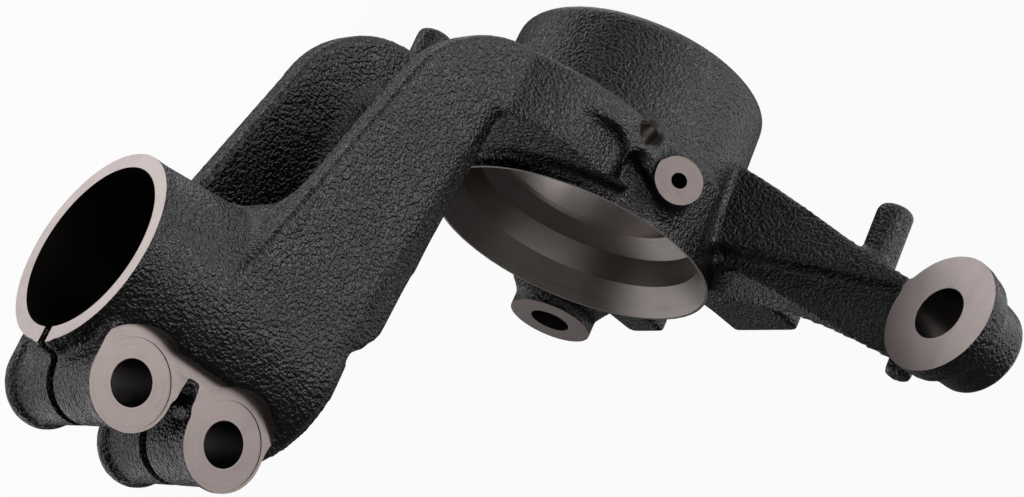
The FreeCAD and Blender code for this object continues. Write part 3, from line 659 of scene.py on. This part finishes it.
def machining_cuts():
    """The tools' paths, each with the finish that it leaves; the holes and the clamp's bore take a darker
    iron, which is painted shade. No two shapes of one cut overlap.
    """
    cuts = []

    def cut(finish):
        cuts.append((finish, bmesh.new()))
        return cuts[-1][1]

    turned(cut("bored"), hub_profile())

    clamp_run = on_clamp(CLAMP_BOTTOM - CLAMP_BORE_FOOT), on_clamp(CLAMP_TOP + PAST)
    disc_bar(cut("hole_painted_shade"), CLAMP_BORE, *clamp_run, segments=128)
    block(
        cut("milled"),
        by_clamp(-CLAMP_FACE_CUT, -CLAMP_FACE_CUT, CLAMP_TOP),
        by_clamp(CLAMP_FACE_CUT, CLAMP_FACE_CUT, CLAMP_TOP + PAST),
    )
    block(
        cut("painted"),
        by_clamp(-SLIT_HALF, SLIT_RUN[0], CLAMP_BOTTOM - PAST),
        by_clamp(SLIT_HALF, SLIT_RUN[1], CLAMP_TOP + SLIT_TOP),
    )

    ends = ((EAR_FRONT, EAR_FRONT + EAR_CUT_RUN), (EAR_REAR - EAR_CUT_RUN, EAR_REAR))
    round_ends, webs, spots, holes = cut("faced"), cut("faced"), cut("faced"), cut("hole_painted_shade")
    for low, high in ends:
        block(webs, (low, EAR_Y, EAR_HEIGHTS[1]), (high, EAR_Y + EAR_CUT_WEB, EAR_HEIGHTS[0]))
    for z in EAR_HEIGHTS:
        for low, high in ends:
            disc_bar(round_ends, EAR_CUT_RADIUS, (low, EAR_Y, z), (high, EAR_Y, z))
        for face, out in EAR_FACES:
            low, high = sorted((face - EAR_SPOT_DEPTH * out, face + EAR_SPOT_PAST * out))
            disc_bar(spots, EAR_SPOT_RADIUS, (low, EAR_Y, z), (high, EAR_Y, z))
        bolt_run = (EAR_REAR - PAST, EAR_Y, z), (EAR_FRONT + PAST, EAR_Y, z)
        disc_bar(holes, EAR_HOLE_RADIUS, *bolt_run, segments=64)

    disc_bar(cut("milled"), EYE_CUT_RADIUS, EYE, EYE + Z_AXIS * EYE_CUT_TOP)
    taper_run = EYE + Z_AXIS * TAPER_TOP, EYE - Z_AXIS * TAPER_FOOT
    disc_bar(cut("hole_painted_shade"), TAPER_TOP_RADIUS, *taper_run, end_radius=TAPER_FOOT_RADIUS, segments=64)

    faces, holes = cut("milled"), cut("hole_painted_shade")
    for z in (-LUG_Z, LUG_Z):
        disc_bar(faces, LUG_CUT_RADIUS, (LUG_X, INBOARD_FACE - LUG_CUT_TOP, z), (LUG_X, INBOARD_FACE, z))
        lug_run = (LUG_X, INBOARD_FACE - PAST, z), (LUG_X, INBOARD_FACE + LUG_HOLE_DEPTH, z)
        disc_bar(holes, LUG_HOLE_RADIUS, *lug_run, segments=64)
    for x, y in FORK_HOLES:
        fork_run = [(x, y, FORK_BOTTOM + depth) for depth in FORK_HOLE_RUN]
        disc_bar(holes, FORK_HOLE_RADIUS, *fork_run, segments=48)

    disc_bar(cut("faced"), SENSOR_CUT_RADIUS, *on_sensor(SENSOR_SCREW, SENSOR_FACE, SENSOR_FACE + PAST))
    disc_bar(cut("hole_painted_shade"), SCREW_HOLE_RADIUS, *on_sensor(SENSOR_SCREW, *SCREW_HOLE_RUN), segments=40)
    disc_bar(cut("bored"), SENSOR_BORE_RADIUS, *on_sensor(SENSOR_BORE, *SENSOR_BORE_RUN), segments=48)
    disc_bar(
        cut("bored"),
        SENSOR_BORE_RADIUS,
        *on_sensor(SENSOR_BORE, *SENSOR_CHAMFER_HEIGHTS),
        end_radius=SENSOR_BORE_RADIUS + SENSOR_CHAMFER,
        segments=48,
    )
    return cuts


def mesh_vectors(mesh, what):
    """One vector for each point of a mesh, such as its place (co) or its normal, as an array."""
    flat = np.empty(len(mesh.vertices) * 3, np.float32)
    mesh.vertices.foreach_get(what, flat)
    return flat.reshape(-1, 3)


def add_smoothing(piece, passes):
    """Smooths a piece's skin by a live modifier."""
    ease = piece.modifiers.new("ease", "SMOOTH")
    ease.factor = 0.5
    ease.iterations = passes


def fill_corners(piece, passes, easing):
    """Fills the inner corners as a foundry pattern does: a point moves out to the smoothed skin, never in."""
    before = mesh_vectors(piece.data, "co")
    add_smoothing(piece, passes)
    graph = bpy.context.evaluated_depsgraph_get()
    smooth = bpy.data.meshes.new_from_object(piece.evaluated_get(graph))
    target = mesh_vectors(smooth, "co")
    outward = np.einsum("ij,ij->i", target - before, mesh_vectors(smooth, "normal"))
    share = np.clip(outward / easing, 0.0, 1.0)[:, None]
    piece.modifiers.clear()
    piece.data.vertices.foreach_set("co", (before + (target - before) * share).ravel())
    piece.data.update()
    bpy.data.meshes.remove(smooth)


def shape(piece, steps):
    """Cuts bars and blocks from a piece or joins them to it; each leaves its finish on its faces."""
    tools = []
    for index, (how, finish, bm) in enumerate(steps):
        tool = new_object(f"tool_{index}", bm, [finish])
        step = piece.modifiers.new(tool.name, "BOOLEAN")
        step.operation = how
        step.solver = "MANIFOLD"
        step.object = tool
        step.material_mode = "TRANSFER"
        tools.append(tool)
    finished(piece)
    for tool in tools:
        bpy.data.objects.remove(tool)


def crisp_edges(piece, cut_angle, cast_angle):
    """Keeps a machined face's edges sharp from a small angle, and the cast skin's from a large one."""
    bm = bmesh.new()
    bm.from_mesh(piece.data)
    for face in bm.faces:
        face.smooth = True
    for edge in bm.edges:
        machined = any(face.material_index for face in edge.link_faces)
        edge.smooth = edge.calc_face_angle(0.0) < (cut_angle if machined else cast_angle)
    bm.to_mesh(piece.data)
    bm.free()


class KNUCKLE_OT_casting(bpy.types.Operator):
    """Models the cast blank, rounds its skin and machines it"""

    bl_idname = "knuckle.casting"
    bl_label = "Casting"

    def execute(self, context):
        scene = context.scene
        finishes = self.make_finishes(scene.knuckle_paint, scene.knuckle_machining)
        piece = self.make_blank(finishes, scene.knuckle_machining.stock_mm)
        self.make_skin(piece, scene.knuckle_skin)
        shape(piece, [("DIFFERENCE", finishes[finish], bm) for finish, bm in machining_cuts()])
        crisp_edges(piece, CUT_EDGE, CAST_EDGE)
        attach(piece, "root")
        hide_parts(NODE)
        if triangle_count(piece.data) > TRIANGLE_LIMIT:
            raise RuntimeError(f"the casting has more than {TRIANGLE_LIMIT} triangles")
        return {"FINISHED"}

    def make_finishes(self, paint, iron):
        """The materials by name. The cast skin's comes first, so that it is material 0."""
        finishes = {"painted": painted_cast_iron(paint)}
        for finish, name, colour, marks, roughness, spacing_mm, relief_mm in (
            ("bored", "bored_iron", iron.bored, round_the_hub, 0.34, 0.6, 0.01),
            # The holes' iron is the bored iron made darker: painted shade inside the deep holes and the
            # clamp's bore.
            ("hole_painted_shade", "hole_iron_painted_shade", iron.hole_painted_shade, round_the_hub, 0.4, 0.6, 0.01),
            ("milled", "milled_iron", iron.milled, across_the_strokes, 0.32, 0.6, 0.035),
            ("faced", "spot_faced_iron", iron.faced, round_the_bolt, 0.34, 0.5, 0.02),
        ):
            finishes[finish] = machined_iron(name, colour, marks, roughness, spacing_mm, relief_mm)
        return finishes

    def make_blank(self, finishes, stock_mm):
        """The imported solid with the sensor's relief, and with its machined places filled and left proud."""
        bm = bmesh.new()
        bm.from_mesh(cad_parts[NODE].data)
        bmesh.ops.remove_doubles(bm, verts=bm.verts, dist=1e-6)
        scaled(bm, 1 / MM)
        piece = new_object(PIECE, bm, [*finishes.values()])
        shape(piece, [(how, finishes["painted"], bar) for how, bar in sensor_relief()])
        bm = bmesh.new()
        bm.from_mesh(piece.data)
        scaled(bm, 1 / MM)
        stock(bm, stock_mm)
        scaled(bm, MM)
        bm.to_mesh(piece.data)
        bm.free()
        return piece

    def make_skin(self, piece, skin):
        """Joins the blank into one skin, fills its inner corners, rounds its edges and thins its mesh."""
        cells = piece.modifiers.new("cells", "REMESH")
        cells.mode = "VOXEL"
        cells.voxel_size = skin.voxel_mm * MM
        cells.use_smooth_shade = True
        finished(piece)
        fill_corners(piece, skin.fillet_passes, EASING_MM * MM)
        add_smoothing(piece, skin.passes)
        finished(piece)
        thin = piece.modifiers.new("thin", "DECIMATE")
        thin.ratio = min(1.0, skin.triangles / triangle_count(piece.data))
        finished(piece)


class KNUCKLE_OT_stage(bpy.types.Operator):
    """Lays the floor and places the lamps and the camera"""

    bl_idname = "knuckle.stage"
    bl_label = "Stage"

    def execute(self, context):
        scene = context.scene
        self.lay_floor(scene.knuckle_stage)
        self.light_room(scene, scene.knuckle_stage.room)
        self.hang_lamps(scene)
        self.hang_flags()
        self.place_camera(scene)
        scene.view_settings.view_transform = "Standard"
        return {"FINISHED"}

    def lay_floor(self, stage):
        bm = bmesh.new()
        bmesh.ops.create_grid(bm, x_segments=1, y_segments=1, size=FLOOR_HALF_MM)
        floor = new_object("floor", bm, [floor_material(stage.card)])
        floor.data.transform(Matrix.Translation((0, 0, CAD_BOX[0][2] - stage.drop)))

    def light_room(self, scene, strength):
        """An even light from all round, which the camera and the gloss see as white."""
        world = bpy.data.worlds.new("studio")
        scene.world = world
        world.use_nodes = True
        tree = world.node_tree
        tree.nodes.clear()
        room = add(tree, "ShaderNodeBackground", Color=(1, 1, 1, 1), Strength=strength)
        white = add(tree, "ShaderNodeBackground", Color=(1, 1, 1, 1), Strength=1.0)
        seen = add(
            tree,
            "ShaderNodeMixShader",
            [(0, shown_rays(tree)), (1, room.outputs[0]), (2, white.outputs[0])],
        )
        output = tree.nodes.new("ShaderNodeOutputWorld")
        tree.links.new(seen.outputs[0], output.inputs["Surface"])

    def hang_lamps(self, scene):
        for name, place, size, power in LAMPS:
            data = bpy.data.lights.new(name, "AREA")
            data.shape = "SQUARE"
            data.size = size
            data.energy = power
            lamp = bpy.data.objects.new(name, data)
            scene.collection.objects.link(lamp)
            lamp.location = place
            lamp.visible_camera = False
            lamp.rotation_euler = (LAMP_AIM - place).to_track_quat("-Z", "Y").to_euler()

    def hang_flags(self):
        for name, grey, low, high in FLAGS:
            bm = bmesh.new()
            block(bm, low, high)
            flag = new_object(name, bm, [flag_material(name, grey)])
            flag.visible_camera = False
            flag.visible_shadow = False

    def place_camera(self, scene):
        lens = bpy.data.cameras.new("camera")
        lens.sensor_width = CAMERA_SENSOR_MM
        lens.lens = CAMERA_LENS_MM
        lens.clip_end = CAMERA_REACH
        camera = bpy.data.objects.new("camera", lens)
        back = CAMERA_RIGHT.cross(CAMERA_UP)
        turn = Matrix((CAMERA_RIGHT, CAMERA_UP, back)).transposed().to_4x4()
        camera.matrix_world = Matrix.Translation(CAMERA_PLACE) @ turn
        scene.collection.objects.link(camera)
        scene.camera = camera


class KNUCKLE_PT_panel(bpy.types.Panel):
    """The knuckle's casting and stage"""

    bl_label = "Knuckle"
    bl_idname = "KNUCKLE_PT_panel"
    bl_space_type = "VIEW_3D"
    bl_region_type = "UI"
    bl_category = "Knuckle"

    def draw(self, context):
        for operator in (KNUCKLE_OT_casting, KNUCKLE_OT_stage):
            self.layout.operator(operator.bl_idname)


GROUPS = {
    "knuckle_paint": KnucklePaint,
    "knuckle_machining": KnuckleMachining,
    "knuckle_skin": KnuckleSkin,
    "knuckle_stage": KnuckleStage,
}
CLASSES = (*GROUPS.values(), KNUCKLE_OT_casting, KNUCKLE_OT_stage, KNUCKLE_PT_panel)


def register():
    for cls in CLASSES:
        bpy.utils.register_class(cls)
    for name, cls in GROUPS.items():
        setattr(bpy.types.Scene, name, bpy.props.PointerProperty(type=cls))


def unregister():
    for name in GROUPS:
        delattr(bpy.types.Scene, name)
    for cls in reversed(CLASSES):
        bpy.utils.unregister_class(cls)


def main():
    register()
    bpy.ops.knuckle.casting()
    bpy.ops.knuckle.stage()


if __name__ == "__main__":
    main()
